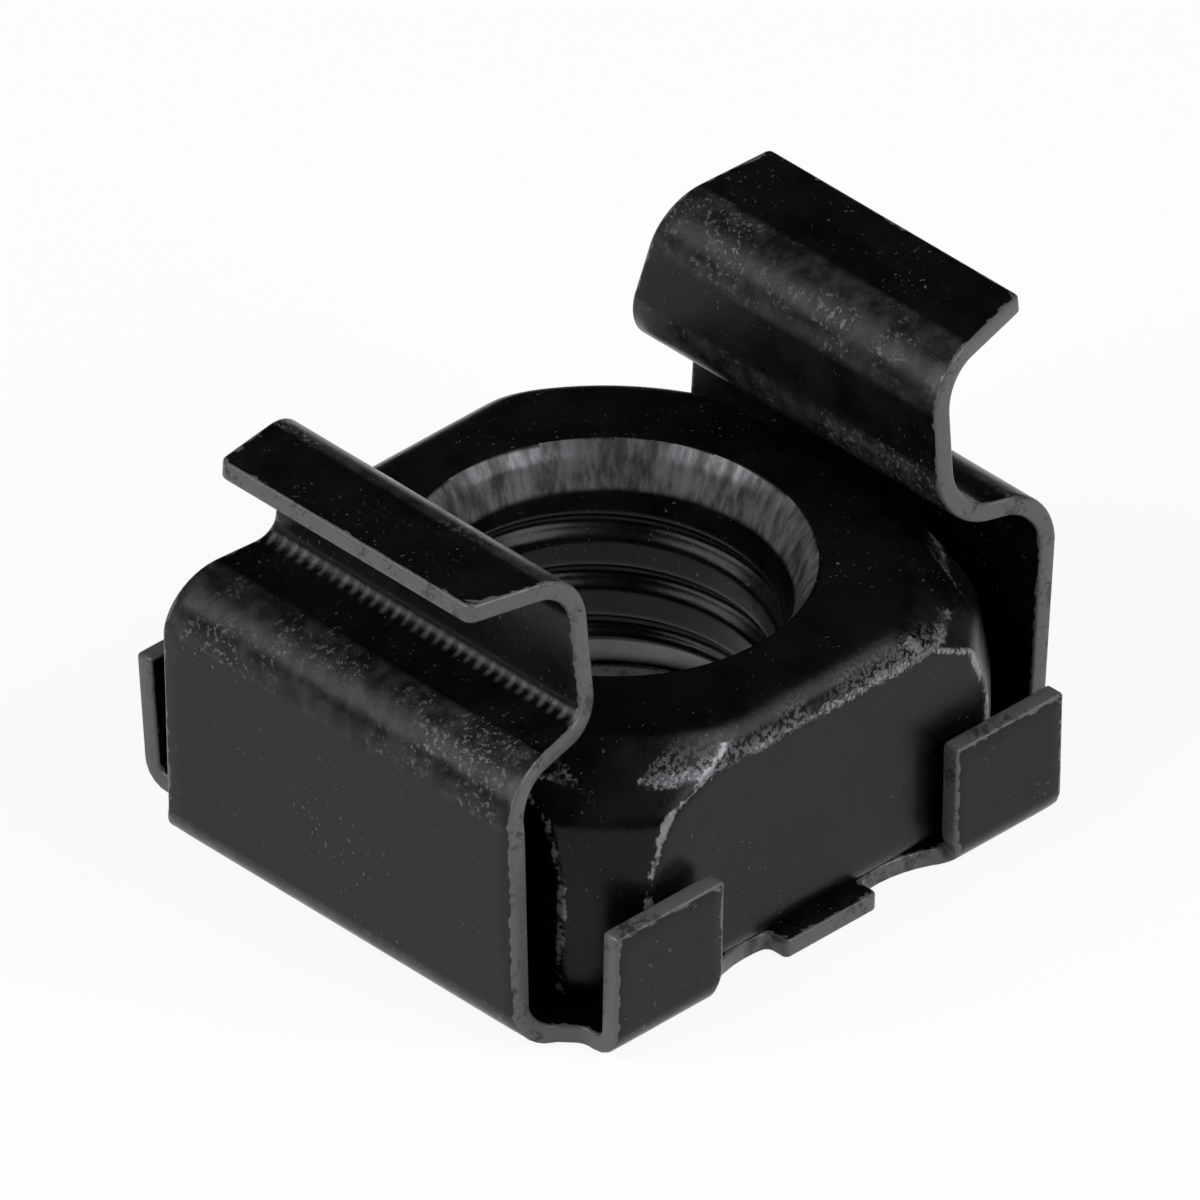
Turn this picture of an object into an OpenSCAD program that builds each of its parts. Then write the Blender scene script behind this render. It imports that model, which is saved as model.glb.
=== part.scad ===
// Cage nut for rack rails: a loose square nut held in a folded spring-steel cage.
// The cage clips into a square hole with two sprung ears, a short hook on one
// side and a longer lever on the other, and the nut floats inside it.
// Millimetres. The origin is where the screw axis meets the underside of the
// cage floor. X runs from the hook ear (-X) to the lever ear (+X), and Z is up,
// towards the panel.

/* [Nut] */
// Width across the flats of the square nut
nut_w = 9.8; // [9:0.1:11]
// Thickness of the nut
nut_h = 4.5; // [3.8:0.1:5.5]
// Diameter over the rounded corners
nut_corner_d = 12.5; // [11.6:0.1:13]
// Radius of the rolled edges round the top face
nut_edge_r = 0.7; // [0.2:0.05:1]
// Diameter of the flat top where the corner chamfers begin
crown_d = 9.85; // [8.8:0.05:10.5]
// Height of the conical chamfer on each corner
crown_drop = 1.1; // [0.4:0.05:1.6]
// Bevel round the foot of the nut
nut_foot = 0.15; // [0.05:0.05:0.4]
// Least clearance between that bevel and the folds of the tabs
foot_ease = 0.02; // [0.01:0.01:0.1]

/* [Thread] */
// Nominal diameter of the thread
thread_d = 6; // [5:0.5:6.5]
// Pitch of the thread
thread_pitch = 1; // [0.7:0.05:1.25]
// Diameter of each countersunk mouth at the face of the nut
mouth_d = 6.8; // [6.6:0.05:7.6]
// Depth of the steep lead-in cone below the top face
mouth_depth = 0.8; // [0.4:0.05:1]
// Depth of the lead-in cone above the bottom face
foot_mouth_depth = 0.6; // [0.3:0.05:1]

/* [Cage sheet] */
// Thickness of the spring steel
sheet_t = 0.35; // [0.25:0.05:0.5]
// Inside radius of the folds at the foot of the ears
fold_r = 0.35; // [0.2:0.05:0.6]
// Inside radius of the tighter folds at the foot of the tabs
tab_fold_r = 0.15; // [0.1:0.05:0.4]
// Clear space between the nut and the near tabs (-Y)
tab_float = 0.16; // [0.1:0.02:0.4]
// Clear space between the nut and the foot of the far tabs (+Y)
far_tab_float = 0.34; // [0.1:0.02:0.5]
// Clear space between the nut and each ear wall at the floor
end_float = 0.82; // [0.6:0.02:1.2]
// Clear height between the nut and the shoulders above it
head_float = 0.2; // [0.15:0.05:0.6]
// Extra diameter of the floor hole over the thread
screw_clearance = 0.7; // [0.4:0.1:1]

/* [Cage floor] */
// Length of each side tab along X
tab_len = 2.45; // [1.8:0.05:3]
// Height of the side tabs above the underside
tab_h = 2.45; // [1.6:0.05:3.2]
// Outward lean of the far tabs in degrees
far_tab_lean = 6; // [0:0.5:10]
// Gap between the end of a tab and the fold of the ear wall
tab_setback = 0.26; // [0.15:0.02:0.5]
// Width of the tongue in the middle of each side
tongue_w = 2.1; // [1.2:0.1:3]
// Length of the tongue beyond the notches beside it
tongue_len = 0.47; // [0.2:0.01:0.7]
// How far the notches reach in from the folds of the tabs
notch_depth = 0.13; // [0.05:0.01:0.3]
// Radius of the shallow arc that each notch follows
notch_r = 2.4; // [1.8:0.1:4]
// Distance from the tongue to the deepest point of a notch
notch_offset = 0.45; // [0.2:0.05:0.8]
// Radius of the relief in each corner of the floor
relief_r = 0.4; // [0.3:0.05:0.5]
// Radius of the round relief at the inner end of each tab's fold
tab_relief_r = 0.5; // [0.3:0.05:0.9]
// How far that relief reaches in past the end of the tab
tab_relief_reach = 0.2; // [0.1:0.05:0.4]

/* [Ears] */
// Width of the ear walls
wall_w = 8.1; // [7:0.1:8.4]
// Width of each ear at its foot, where it flares into the floor
foot_w = 8.7; // [8.5:0.1:8.9]
// Height of that flare above the underside
foot_flare = 0.5; // [0.3:0.05:0.9]
// Width of each ear at its neck
neck_w = 7.1; // [6:0.1:7.4]
// Width of each ear where the lip bends over
bend_w = 6.7; // [5.4:0.1:7]
// Width of each ear at its tip
tip_w = 5.8; // [4.6:0.1:6.2]
// Outward lean of the ear walls in degrees
wall_lean = 2.7; // [0:0.1:5]
// Inside radius of the shoulders over the walls
shoulder_r = 0.7; // [0.3:0.05:0.9]

/* [Hook ear] */
// Rise of the hook's shoulder in degrees
hook_shoulder_rise = 5; // [0:0.5:15]
// Flat length of the hook's shoulder
hook_shoulder = 0.75; // [0.4:0.05:1.2]
// Inside radius at the foot of the hook's neck
hook_neck_r = 0.35; // [0.2:0.05:0.6]
// Outward lean of the hook's neck in degrees
hook_lean = 0; // [-3:0.5:6]
// Straight height of the hook's neck
hook_neck = 1.45; // [1:0.05:2]
// Inside radius under the hook's lip
hook_lip_r = 0.55; // [0.3:0.05:0.8]
// Rise of the hook's lip in degrees
hook_lip_rise = 3; // [0:0.5:15]
// Flat length of the hook's lip
hook_lip = 1.4; // [0.8:0.05:2]

/* [Lever ear] */
// Rise of the lever's shoulder in degrees
lever_shoulder_rise = 7; // [0:0.5:15]
// Flat length of the lever's shoulder
lever_shoulder = 0.3; // [0.1:0.05:0.8]
// Inside radius at the foot of the lever's neck
lever_neck_r = 0.8; // [0.4:0.05:1]
// Outward lean of the lever's neck in degrees
lever_lean = 6.3; // [0:0.1:12]
// Straight height of the lever's neck
lever_neck = 0.95; // [0.5:0.05:1.4]
// Inside radius under the lever's flare
lever_lip_r = 0.75; // [0.4:0.05:1]
// Rise of the lever's flare in degrees
lever_lip_rise = 7; // [0:0.5:20]
// Flat length of the lever's flare
lever_lip = 1.4; // [0.8:0.05:2.2]

/* [Hidden] */
$fn = 96;
bend_steps = 12;                             // flats that make up each bend of an ear
cut = 0.5;                                   // how far a cutter runs past a face
clear_of_tip = 2;                            // how far the trimming runs past an ear's tip
steel_black = [0.13, 0.13, 0.14];
nut_black = [0.09, 0.09, 0.10];

// Nut
bore_r = (thread_d - thread_pitch) / 2;
major_r = thread_d / 2;
nut_bottom = sheet_t;
nut_top = nut_bottom + nut_h;
mouth_lip = 0.2;                             // height of the bevel at the very mouth
mouth_step = (mouth_d / 2 - major_r) / 2;
foot_bevel = max(nut_foot, tab_fold_r - min(tab_float, far_tab_float) + foot_ease);

// Folds, measured on the middle of the sheet
half_t = sheet_t / 2;
fold_mid = fold_r + half_t;
tab_fold_mid = tab_fold_r + half_t;
shoulder_mid = shoulder_r + half_t;

// Where the floor ends and the walls and tabs begin; side is 1 for +Y, -1 for -Y
floor_half_x = nut_w / 2 + end_float + half_t - fold_mid;
tab_out_x = floor_half_x - tab_setback;
tab_in_x = tab_out_x - tab_len;
floor_hole_r = (thread_d + screw_clearance) / 2;
function fold_y(side) = nut_w / 2 + (side > 0 ? far_tab_float : tab_float) - tab_fold_r;
function notch_y(side) = fold_y(side) - notch_depth;
function tab_lean(side) = side > 0 ? far_tab_lean : 0;

// Height that an arc gains between two headings
function rise_of(from, to, r) = r * (cos(from) - cos(to));

// The wall is as tall as the nut, its headroom and the two folds ask
function wall_len(rise) =
    (nut_top + head_float - rise_of(0, 90 - wall_lean, fold_mid)
     - rise_of(90 - wall_lean, 180 - rise, shoulder_mid)) / cos(wall_lean);

// Each ear is a chain of legs: straight length, turn in degrees, mid radius
hook_legs = [
    [floor_half_x, 90 - wall_lean, fold_mid],
    [wall_len(hook_shoulder_rise), 90 + wall_lean - hook_shoulder_rise, shoulder_mid],
    [hook_shoulder, -(90 + hook_lean - hook_shoulder_rise), hook_neck_r + half_t],
    [hook_neck, -(90 - hook_lean - hook_lip_rise), hook_lip_r + half_t],
    [hook_lip, 0, 0]];
lever_legs = [
    [floor_half_x, 90 - wall_lean, fold_mid],
    [wall_len(lever_shoulder_rise), 90 + wall_lean - lever_shoulder_rise, shoulder_mid],
    [lever_shoulder, -(90 + lever_lean - lever_shoulder_rise), lever_neck_r + half_t],
    [lever_neck, -(90 - lever_lean - lever_lip_rise), lever_lip_r + half_t],
    [lever_lip, 0, 0]];

// A tab is a chain of two legs: the floor with its fold, and the upright
function tab_legs(side) = [
    [fold_y(side), 90 - tab_lean(side), tab_fold_mid],
    [(tab_h - half_t - rise_of(0, 90 - tab_lean(side), tab_fold_mid)) / cos(tab_lean(side)), 0, 0]];

// Direction in which leg i sets out, and the point where it starts
function heading(legs, i) = i == 0 ? 0 : heading(legs, i - 1) + legs[i - 1][1];
function after_straight(legs, i) =
    start_of(legs, i) + legs[i][0] * [cos(heading(legs, i)), sin(heading(legs, i))];
function after_bend(legs, i) =
    let (h = heading(legs, i), a = legs[i][1], r = legs[i][2])
    after_straight(legs, i) + sign(a) * r * [sin(h + a) - sin(h), cos(h) - cos(h + a)];
function start_of(legs, i) = i == 0 ? [0, half_t] : after_bend(legs, i - 1);

// Points along one face of leg i: where its bend starts, turns and ends.
// side is 1 for the face on the left of the leg's direction and -1 for the right
function leg_face(legs, i, side) =
    let (h = heading(legs, i), a = legs[i][1], r = legs[i][2], p = after_straight(legs, i),
         steps = a == 0 ? 0 : bend_steps)
    [for (k = [0 : steps])
        let (d = steps == 0 ? h : h + a * k / steps)
        p + sign(a) * r * [sin(d) - sin(h), cos(h) - cos(d)] + side * half_t * [-sin(d), cos(d)]];
function ear_face(legs, side) = [for (i = [0 : len(legs) - 1]) each leg_face(legs, i, side)];
function reversed(points) = [for (i = [len(points) - 1 : -1 : 0]) points[i]];
function flipped(points) = [for (p = points) [-p[0], p[1]]];

// Side view of the folded strip: lever ear, floor and hook ear in one outline
module strip_profile() {
    polygon(concat(
        ear_face(lever_legs, 1),
        reversed(ear_face(lever_legs, -1)),
        flipped(ear_face(hook_legs, -1)),
        reversed(flipped(ear_face(hook_legs, 1)))));
}

// What is trimmed from both edges of an ear: nothing from the wall, then a
// steady taper along the shoulder, up the neck and out to the tip
module ear_trim(legs) {
    wall_x = after_straight(legs, 1)[0] - half_t;
    shoulder_z = after_straight(legs, 1)[1];
    neck = after_bend(legs, 2);
    bend = after_straight(legs, 3);
    top = after_bend(legs, 3);
    tip = after_straight(legs, 4);
    far_x = max(wall_x, tip[0]) + clear_of_tip;
    far_z = tip[1] + clear_of_tip;
    far_y = foot_w;
    for (side = [-1, 1])
        on_side(side) {
            rotate([90, 0, 90])
                linear_extrude(far_x)
                    polygon([
                        [foot_w / 2, 0], [wall_w / 2, foot_flare], [wall_w / 2, shoulder_z],
                        [far_y, shoulder_z], [far_y, 0]]);
            translate([0, 0, shoulder_z])
                linear_extrude(neck[1] - shoulder_z)
                    polygon([
                        [0, neck_w / 2], [neck[0] + half_t, neck_w / 2], [wall_x, wall_w / 2],
                        [far_x, wall_w / 2], [far_x, far_y], [0, far_y]]);
            rotate([90, 0, 90])
                linear_extrude(far_x)
                    polygon([
                        [neck_w / 2, neck[1]], [bend_w / 2, bend[1]],
                        [bend_w / 2, far_z], [far_y, far_z], [far_y, neck[1]]]);
            translate([0, 0, bend[1]])
                linear_extrude(far_z - bend[1])
                    polygon([
                        [bend[0], bend_w / 2], [tip[0], tip_w / 2],
                        [far_x, tip_w / 2], [far_x, far_y], [bend[0], far_y]]);
        }
}

// Mirror to the other side of the XZ plane when side is -1
module on_side(side) {
    mirror([0, side < 0 ? 1 : 0, 0])
        children();
}

// The strip that makes both ears and the middle of the floor
module folded_strip() {
    difference() {
        rotate([90, 0, 0])
            linear_extrude(foot_w, center = true)
                strip_profile();
        ear_trim(lever_legs);
        mirror([1, 0, 0])
            ear_trim(hook_legs);
    }
}

// Outline of half of the flat floor: the plate, the tongue and the notches
module floor_half(side) {
    notch_x = tongue_w / 2 + notch_offset;
    difference() {
        union() {
            translate([-floor_half_x, 0])
                square([2 * floor_half_x, fold_y(side)]);
            difference() {
                translate([-tab_in_x, 0])
                    square([2 * tab_in_x, notch_y(side) + tongue_len]);
                for (sx = [-1, 1])
                    translate([sx * notch_x, notch_y(side) + notch_r])
                        circle(r = notch_r);
            }
            translate([-tongue_w / 2, 0])
                square([tongue_w, notch_y(side) + tongue_len]);
        }
        for (sx = [-1, 1])
            translate([sx * (tab_out_x + relief_r), notch_y(side)]) {
                circle(r = relief_r);
                translate([-relief_r, 0])
                    square([2 * relief_r, relief_r]);
            }
    }
}

// One side tab with its fold, standing along the floor's edge
module side_tab(side) {
    legs = tab_legs(side);
    difference() {
        translate([tab_in_x, 0, 0])
            rotate([90, 0, 90])
                linear_extrude(tab_len)
                    polygon(concat(ear_face(legs, 1), reversed(ear_face(legs, -1))));
        // round relief at the inner end of the fold
        translate([tab_in_x + tab_relief_reach - tab_relief_r, fold_y(side), 0])
            rotate([-90, 0, 0])
                cylinder(r = tab_relief_r, h = tab_fold_r + sheet_t + cut);
    }
}

module spring_cage() {
    color(steel_black)
        difference() {
            union() {
                folded_strip();
                for (side = [-1, 1])
                    on_side(side) {
                        linear_extrude(sheet_t)
                            floor_half(side);
                        for (mx = [0, 1])
                            mirror([mx, 0, 0])
                                side_tab(side);
                    }
            }
            translate([0, 0, -cut])
                cylinder(r = floor_hole_r, h = sheet_t + 2 * cut);
        }
}

// Side view of the nut between two flats: bevelled foot and rolled top edges
module rolled_section() {
    half = nut_w / 2;
    polygon([
        [-half + foot_bevel, nut_bottom], [half - foot_bevel, nut_bottom],
        [half, nut_bottom + foot_bevel], [half, nut_top - nut_edge_r],
        [-half, nut_top - nut_edge_r], [-half, nut_bottom + foot_bevel]]);
    translate([-half + nut_edge_r, nut_top - 2 * nut_edge_r])
        square([nut_w - 2 * nut_edge_r, 2 * nut_edge_r]);
    for (side = [-1, 1])
        translate([side * (half - nut_edge_r), nut_top - nut_edge_r])
            circle(r = nut_edge_r);
}

// The turned envelope: flat crown, conical corner chamfers, round corners
module turned_envelope() {
    corner_r = nut_corner_d / 2;
    crease_r = crown_d / 2 + crown_drop;
    corner_drop = 2 * crown_drop;            // the corners are full size below this depth
    rotate_extrude()
        polygon([
            [0, nut_bottom], [corner_r - foot_bevel, nut_bottom],
            [corner_r, nut_bottom + foot_bevel],
            [corner_r, nut_top - corner_drop], [min(crease_r, corner_r), nut_top - crown_drop],
            [crown_d / 2, nut_top], [0, nut_top]]);
}

// The hole: a plain bore at the thread's crests with a countersink at each end
module threaded_bore() {
    mouth_r = mouth_d / 2;
    crest_drop = major_r - bore_r;
    rotate_extrude()
        polygon([
            [0, nut_bottom - cut], [mouth_r, nut_bottom - cut], [mouth_r, nut_bottom],
            [major_r, nut_bottom + foot_mouth_depth],
            [bore_r, nut_bottom + foot_mouth_depth + crest_drop / 2],
            [bore_r, nut_top - mouth_depth - crest_drop / 2],
            [major_r, nut_top - mouth_depth],
            [major_r + mouth_step, nut_top - mouth_lip],
            [mouth_r, nut_top], [mouth_r, nut_top + cut], [0, nut_top + cut]]);
}

module square_nut() {
    color(nut_black)
        difference() {
            intersection() {
                rotate([90, 0, 0])
                    linear_extrude(nut_w, center = true)
                        rolled_section();
                rotate([90, 0, 90])
                    linear_extrude(nut_w, center = true)
                        rolled_section();
                turned_envelope();
            }
            threaded_bore();
        }
}

spring_cage();
square_nut();
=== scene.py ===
"""Rack cage nut: a loose square nut in a folded cage of blackened spring steel.

The part's own frame, in metres. Lengths of the part are named in millimetres
and turned into metres with MM where a mesh is made; the studio's are in metres.
"""

import math

import bmesh
import bpy
import numpy as np
from mathutils import Matrix, Vector
from mathutils.geometry import delaunay_2d_cdt


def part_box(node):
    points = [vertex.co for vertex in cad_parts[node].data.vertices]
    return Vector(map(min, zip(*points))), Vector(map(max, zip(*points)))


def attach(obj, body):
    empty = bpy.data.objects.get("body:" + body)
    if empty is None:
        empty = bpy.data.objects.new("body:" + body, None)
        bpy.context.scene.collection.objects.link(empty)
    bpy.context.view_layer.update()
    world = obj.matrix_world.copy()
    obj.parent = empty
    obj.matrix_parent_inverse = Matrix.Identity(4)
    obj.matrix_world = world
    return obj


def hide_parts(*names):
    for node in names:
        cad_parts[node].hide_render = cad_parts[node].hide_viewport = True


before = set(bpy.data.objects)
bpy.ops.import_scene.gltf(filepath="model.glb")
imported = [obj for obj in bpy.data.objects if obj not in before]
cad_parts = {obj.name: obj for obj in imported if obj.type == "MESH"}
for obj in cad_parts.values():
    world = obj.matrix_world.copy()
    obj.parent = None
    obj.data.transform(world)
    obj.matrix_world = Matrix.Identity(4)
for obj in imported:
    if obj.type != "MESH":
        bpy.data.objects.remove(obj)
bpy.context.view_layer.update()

MM = 0.001
TO_MM = 1000.0

# ---------------------------------------------------------------- sizes ----
nut_low, nut_high = (np.array(corner) * TO_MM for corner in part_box("square_nut"))
cage_low = np.array(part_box("spring_cage")[0]) * TO_MM
nut_bottom = nut_low[2]
nut_top = nut_high[2]

# Nut
NUT_WIDTH = 9.8
CORNER_R = 6.25
EDGE_R = 0.7                                 # rolled edges round the top
CROWN_R = 4.925
CROWN_DROP = 1.1
FOOT_BEVEL = 0.15
EDGE_SOFTNESS = 0.03                         # how far each crease is blended
PITCH = 1.0
MINOR_R = 2.5
MAJOR_R = 3.0
CREST_FLAT = 0.26
CREST_Z = 3.885                              # height of a crest at +X
MOUTH_R = 3.4
MOUTH_BEVEL_R = 3.22
MOUTH_BEVEL_DEPTH = 0.25
MOUTH_DEPTH = 0.82
FOOT_MOUTH_DEPTH = 0.6

# Cage sheet, measured on the middle of its thickness
SHEET = 0.35
HALF = SHEET / 2
FOLD_MID = 0.35 + HALF
TAB_FOLD = 0.15                              # inside radius of the tabs' folds
TAB_FOLD_MID = TAB_FOLD + HALF
SHOULDER_MID = 0.7 + HALF
NEAR_FLOAT = 0.16                            # room between the nut and the near tabs
FAR_FLOAT = 0.34
END_FLOAT = 0.82                             # room between the nut and each ear wall
WALL_LEAN = 2.7                              # degrees
HEAD_FLOAT = 0.2
HOLE_R = 3.35
FLOOR_X = NUT_WIDTH / 2 + END_FLOAT + HALF - FOLD_MID
TAB_LENGTH = 2.45
TAB_HEIGHT = 2.45
TAB_SETBACK = 0.26
TAB_OUT_X = FLOOR_X - TAB_SETBACK
TAB_IN_X = TAB_OUT_X - TAB_LENGTH
NEAR_FOLD_Y = NUT_WIDTH / 2 + NEAR_FLOAT - TAB_FOLD
FAR_FOLD_Y = NUT_WIDTH / 2 + FAR_FLOAT - TAB_FOLD
FAR_TAB_LEAN = 6.0                           # degrees
NOTCH_DEPTH = 0.13
NOTCH_R = 2.4
NOTCH_OFFSET = 0.45
TONGUE_WIDTH = 2.1
TONGUE_LENGTH = 0.47
FOOT_WIDTH = 8.7
WALL_WIDTH = 8.1
NECK_WIDTH = 7.1
BEND_WIDTH = 6.7
TIP_WIDTH = 5.8
EDGE_ROUND = 0.06                            # rounding of every cut edge
MESH_STEP = 0.12                             # spacing of points along the outline

# ---------------------------------------------------------------- helpers --


def smooth_max(values, softness):
    """Largest of several arrays, blended over about the given distance."""
    stack = np.stack(values)
    top = stack.max(axis=0)
    return top + softness * np.log(np.exp((stack - top) / softness).sum(axis=0))


def mesh_object(name, points, faces):
    """A smooth-shaded mesh object from points in millimetres."""
    mesh = bpy.data.meshes.new(name)
    mesh.from_pydata((np.asarray(points) * MM).tolist(), [], faces)
    mesh.polygons.foreach_set("use_smooth", [True] * len(mesh.polygons))
    piece = bpy.data.objects.new(name, mesh)
    bpy.context.scene.collection.objects.link(piece)
    return piece


def weld(piece, distance):
    """Merge points that coincide and drop the faces that vanish with them."""
    work = bmesh.new()
    work.from_mesh(piece.data)
    bmesh.ops.remove_doubles(work, verts=work.verts, dist=distance)
    bmesh.ops.dissolve_degenerate(work, edges=work.edges, dist=distance)
    bmesh.ops.recalc_face_normals(work, faces=work.faces)
    work.to_mesh(piece.data)
    work.free()
    piece.data.update()


def point_values(piece, name, values):
    """Store one number per point for the materials to read."""
    layer = piece.data.attributes.new(name, "FLOAT", "POINT")
    layer.data.foreach_set("value", np.asarray(values, np.float32))


def mesh_points(piece):
    """All points of a piece, in millimetres."""
    flat = np.zeros(len(piece.data.vertices) * 3)
    piece.data.vertices.foreach_get("co", flat)
    return flat.reshape(-1, 3) * TO_MM


# ---------------------------------------------------------------- the nut --
COLUMNS = 360
SKIN_ROWS = 110
RING_R = 4.15                                # ring from which the skin is cast
RING_Z = (nut_bottom + nut_top) / 2


def nut_faces(x, y, z):
    """Signed distances to every surface that bounds the nut's outside."""
    radius = np.hypot(x, y)
    half = NUT_WIDTH / 2
    distances = [nut_bottom - z]
    for across in (np.abs(x), np.abs(y)):
        over_side = across - (half - EDGE_R)
        over_top = z - (nut_top - EDGE_R)
        outside = np.hypot(np.maximum(over_side, 0), np.maximum(over_top, 0))
        inside = np.minimum(np.maximum(over_side, over_top), 0)
        distances.append(outside + inside - EDGE_R)
        distances.append((across - (z - nut_bottom) - (half - FOOT_BEVEL)) / math.sqrt(2))
    distances.append(radius - CORNER_R)
    distances.append((radius + z - CROWN_R - nut_top) / math.sqrt(2))
    crease_r = CROWN_R + CROWN_DROP
    crease_z = nut_top - CROWN_DROP
    lean = math.atan2(CORNER_R - crease_r, CROWN_DROP)
    distances.append((radius - crease_r) * math.cos(lean) + (z - crease_z) * math.sin(lean))
    distances.append((radius - (z - nut_bottom) - (CORNER_R - FOOT_BEVEL)) / math.sqrt(2))
    return distances


def nut_skin():
    """Cast the outside of the nut from a ring inside it."""
    turn = np.linspace(0, 2 * math.pi, COLUMNS, endpoint=False)
    reach = math.atan2(nut_top - RING_Z, MOUTH_R - RING_R)
    tilt = np.linspace(-reach, reach, SKIN_ROWS)
    turn_grid, tilt_grid = np.meshgrid(turn, tilt)
    near = np.zeros_like(turn_grid)
    far = np.full_like(turn_grid, 4.0)
    for _ in range(32):
        middle = (near + far) / 2
        radius = RING_R + middle * np.cos(tilt_grid)
        z = RING_Z + middle * np.sin(tilt_grid)
        x = radius * np.cos(turn_grid)
        y = radius * np.sin(turn_grid)
        outside = smooth_max(nut_faces(x, y, z), EDGE_SOFTNESS) > 0
        far = np.where(outside, middle, far)
        near = np.where(outside, near, middle)
    radius = RING_R + near * np.cos(tilt_grid)
    z = RING_Z + near * np.sin(tilt_grid)
    for row, height in ((0, nut_bottom), (-1, nut_top)):
        radius[row] = MOUTH_R
        z[row] = height
    return np.stack([radius * np.cos(turn_grid), radius * np.sin(turn_grid), z], axis=-1)


def thread_radius(climb):
    """Radius of the thread's flanks at a height measured along the helix."""
    from_crest = np.abs((climb - CREST_Z + PITCH / 2) % PITCH - PITCH / 2)
    flank = MINOR_R + (from_crest - CREST_FLAT / 2) / math.tan(math.radians(30))
    crest = smooth_max([flank, np.full_like(flank, MINOR_R)], 0.02)
    return -smooth_max([-crest, np.full_like(crest, -MAJOR_R)], 0.025)


def mouth_radius(z):
    """Radius of the countersinks at a height, from both faces of the nut."""
    top = np.interp(
        z,
        [nut_top - 2 * MOUTH_DEPTH, nut_top - MOUTH_DEPTH, nut_top - MOUTH_BEVEL_DEPTH, nut_top],
        [2 * MAJOR_R - MOUTH_BEVEL_R, MAJOR_R, MOUTH_BEVEL_R, MOUTH_R])
    slope = (MOUTH_R - MAJOR_R) / FOOT_MOUTH_DEPTH
    foot = MOUTH_R - (z - nut_bottom) * slope
    return smooth_max([top, foot], 0.02)


def nut_bore():
    """The threaded hole as rows that climb with the helix."""
    half_crest = CREST_FLAT / 2
    flank = (MAJOR_R - MINOR_R) * math.tan(math.radians(30))
    marks = [0, half_crest * 0.6, half_crest * 0.85, half_crest, half_crest + 0.03]
    marks += [half_crest + flank * share for share in (0.3, 0.6, 0.85, 1.0)]
    marks += [(half_crest + flank + PITCH / 2) / 2]
    marks = np.array(marks + [PITCH / 2])
    one_turn = np.concatenate([marks[:-1], PITCH - marks[:0:-1]])
    first = math.floor((nut_bottom - CREST_Z) / PITCH) - 1
    last = math.ceil((nut_top - CREST_Z) / PITCH) + 1
    climbs = np.concatenate([CREST_Z + one_turn + k * PITCH for k in range(first, last)])
    turn = np.linspace(0, 2 * math.pi, COLUMNS + 1)
    climb_grid, turn_grid = np.meshgrid(climbs, turn, indexing="ij")
    z = climb_grid + PITCH * turn_grid / (2 * math.pi)
    inside = (z > nut_bottom) & (z < nut_top)
    z = np.clip(z, nut_bottom, nut_top)
    radius = smooth_max([thread_radius(climb_grid), mouth_radius(z)], 0.02)
    radius = np.where(inside, np.minimum(radius, MOUTH_R), MOUTH_R)
    return np.stack([radius * np.cos(turn_grid), radius * np.sin(turn_grid), z], axis=-1)


def grid_faces(rows, columns, first, closed):
    """Quads between the points of a rows by columns grid."""
    faces = []
    around = columns if closed else columns - 1
    for i in range(rows - 1):
        for j in range(around):
            k = (j + 1) % columns
            faces.append((
                first + i * columns + j, first + i * columns + k,
                first + (i + 1) * columns + k, first + (i + 1) * columns + j))
    return faces


def make_nut():
    """The nut, with its distances to creases and rolled edges stored per point."""
    skin = nut_skin()
    bore = nut_bore()
    points = np.concatenate([skin.reshape(-1, 3), bore.reshape(-1, 3)])
    faces = grid_faces(skin.shape[0], skin.shape[1], 0, True)
    faces += grid_faces(bore.shape[0], bore.shape[1], skin.shape[0] * skin.shape[1], False)
    piece = mesh_object("threaded_square_nut", points, faces)
    weld(piece, 1e-4 * MM)
    where = mesh_points(piece)
    x, y, z = where.T
    faces_off = nut_faces(x, y, z)
    flats = np.maximum(faces_off[1], faces_off[3])
    corners = np.max(faces_off[5:8], axis=0)
    in_bore = np.hypot(x, y) < MOUTH_R - 1e-4
    below_top = (z < nut_top - EDGE_R / 3) & ~in_bore
    crease = np.where(below_top, np.abs(flats - corners), 9.0)
    across = np.maximum(np.abs(x), np.abs(y))
    on_side = across > NUT_WIDTH / 2 - EDGE_R
    roll = np.where(on_side & ~in_bore, z - (nut_top - EDGE_R), 9.0)
    point_values(piece, "crease_mm", crease)
    point_values(piece, "roll_mm", roll)
    point_values(piece, "bore", in_bore.astype(float))
    return piece


# --------------------------------------------------------------- the cage --
def rise(start, end, radius):
    """Height gained by an arc that turns from one heading to another."""
    return radius * (math.cos(math.radians(start)) - math.cos(math.radians(end)))


def wall_length(shoulder_rise):
    """The wall reaches past the nut, its headroom and the two folds."""
    folds = rise(0, 90 - WALL_LEAN, FOLD_MID)
    folds += rise(90 - WALL_LEAN, 180 - shoulder_rise, SHOULDER_MID)
    return (nut_top + HEAD_FLOAT - folds) / math.cos(math.radians(WALL_LEAN))


def ear_legs(shoulder_rise, shoulder, neck_mid, lean, neck, lip_mid, lip_rise, lip):
    """One ear as legs of straight length, turn in degrees and radius."""
    return [
        (FLOOR_X, 90 - WALL_LEAN, FOLD_MID),
        (wall_length(shoulder_rise), 90 + WALL_LEAN - shoulder_rise, SHOULDER_MID),
        (shoulder, -(90 + lean - shoulder_rise), neck_mid),
        (neck, -(90 - lean - lip_rise), lip_mid),
        (lip, 0.0, 1.0)]


HOOK = ear_legs(
    shoulder_rise=5, shoulder=0.75, neck_mid=0.35 + HALF,
    lean=0, neck=1.45, lip_mid=0.55 + HALF, lip_rise=3, lip=1.4)
LEVER = ear_legs(
    shoulder_rise=7, shoulder=0.3, neck_mid=0.8 + HALF,
    lean=6.3, neck=0.95, lip_mid=0.75 + HALF, lip_rise=7, lip=1.4)


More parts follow.
